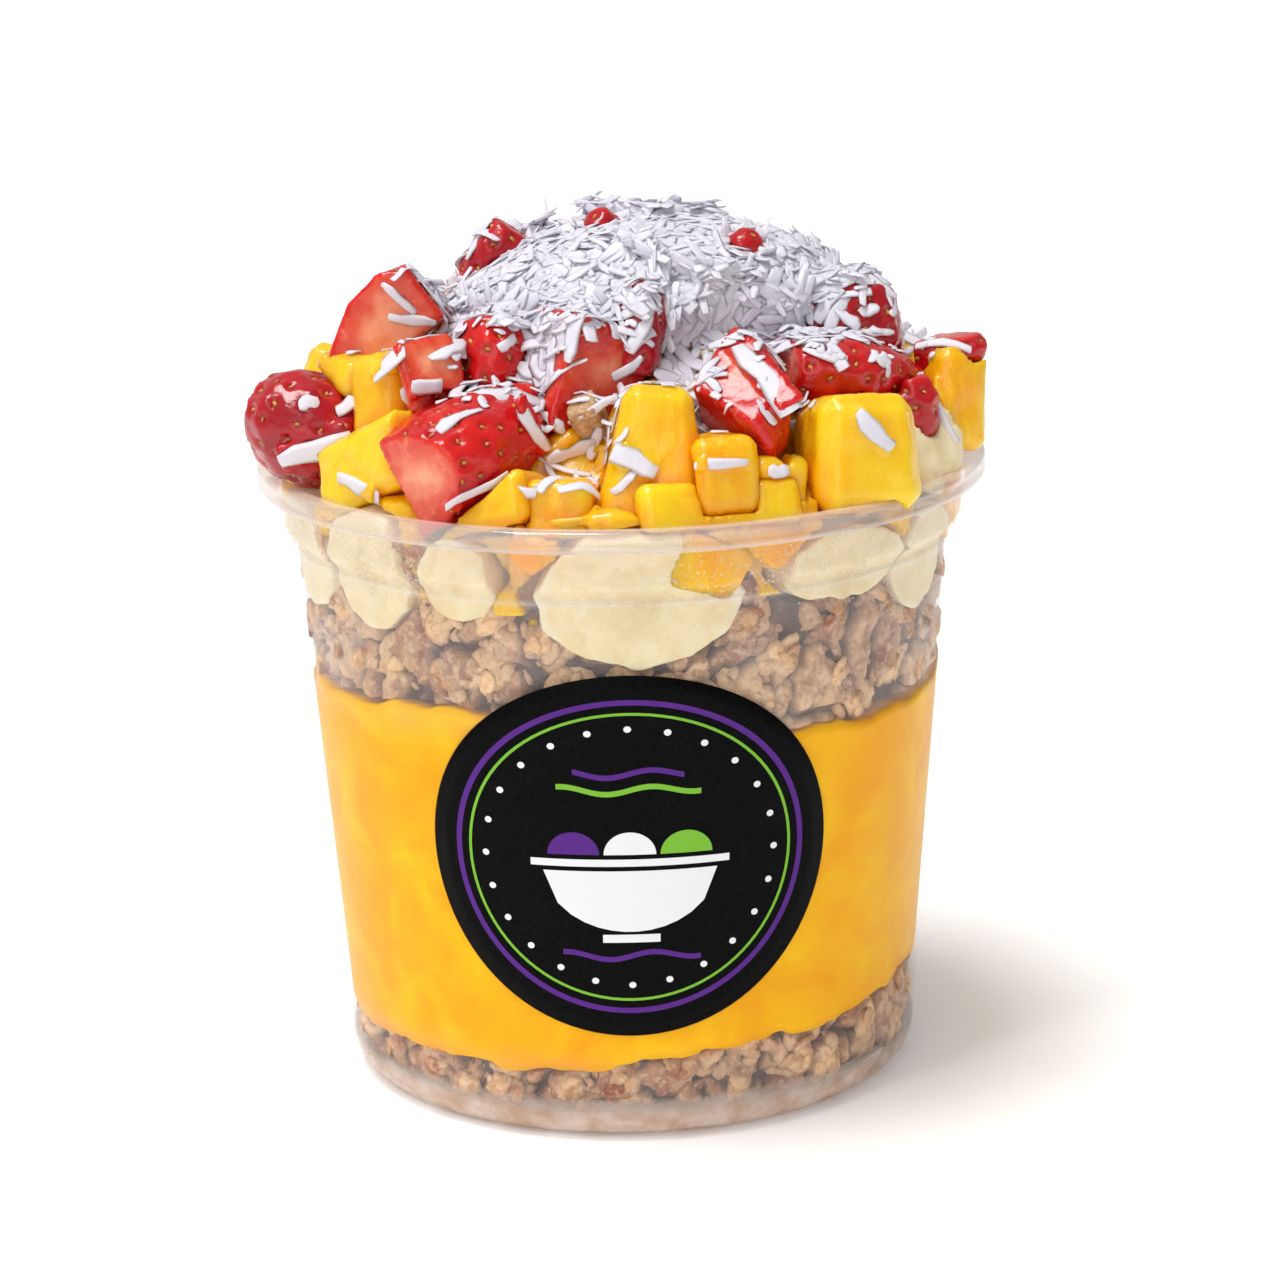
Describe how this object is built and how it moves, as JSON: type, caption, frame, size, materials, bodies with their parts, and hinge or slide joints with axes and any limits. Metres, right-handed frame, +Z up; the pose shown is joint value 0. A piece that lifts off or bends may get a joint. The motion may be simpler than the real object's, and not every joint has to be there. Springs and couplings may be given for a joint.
{
  "type": "smoothie bowl",
  "caption": "Layered fruit and smoothie bowl in a clear round plastic tub: granola, mango smoothie, granola, banana, then a heap of mango and strawberry with shredded coconut.",
  "frame": {"origin": "centre of the tub's foot ring, on the surface it stands on", "axes": "+Z up the tub's axis, -Y towards the front with the round label, +X to the right of the front"},
  "size_m": [0.117, 0.117, 0.14],
  "materials": {
    "clear_tub": "clear thermoformed plastic, slightly milky, glossy",
    "label": "smooth printed sticker, satin",
    "smoothie": "thick mango smoothie, wet",
    "granola": "toasted oat clusters, rough",
    "mango": "ripe cut mango, moist",
    "coconut": "dry shredded coconut",
    "strawberry": "glossy red skin, moist cut faces",
    "banana": "moist cut banana"
  },
  "bodies": {
    "root": {"tub": "clear_tub", "label": "label", "smoothie": "smoothie", "granola_lower": "granola", "granola_upper": "granola", "granola_crumbs": "granola", "mango_bed": "mango", "coconut_shreds": "coconut", "strawberry_01": "strawberry", "strawberry_02": "strawberry", "strawberry_03": "strawberry", "strawberry_04": "strawberry", "strawberry_05": "strawberry", "strawberry_06": "strawberry", "strawberry_07": "strawberry", "strawberry_08": "strawberry", "strawberry_09": "strawberry", "strawberry_10": "strawberry", "strawberry_11": "strawberry", "strawberry_12": "strawberry", "strawberry_13": "strawberry", "strawberry_14": "strawberry", "strawberry_15": "strawberry", "strawberry_16": "strawberry", "strawberry_17": "strawberry", "strawberry_18": "strawberry", "strawberry_19": "strawberry", "strawberry_20": "strawberry", "strawberry_21": "strawberry", "strawberry_22": "strawberry", "mango_01": "mango", "mango_02": "mango", "mango_03": "mango", "mango_04": "mango", "mango_05": "mango", "mango_06": "mango", "mango_07": "mango", "mango_08": "mango", "mango_09": "mango", "mango_10": "mango", "mango_11": "mango", "mango_12": "mango", "mango_13": "mango", "mango_14": "mango", "mango_15": "mango", "mango_16": "mango", "mango_17": "mango", "mango_18": "mango", "mango_19": "mango", "mango_20": "mango", "banana_01": "banana", "banana_02": "banana", "banana_03": "banana", "banana_04": "banana", "banana_05": "banana", "banana_06": "banana", "banana_07": "banana", "banana_08": "banana", "banana_09": "banana", "banana_10": "banana"}
  },
  "joints": []
}
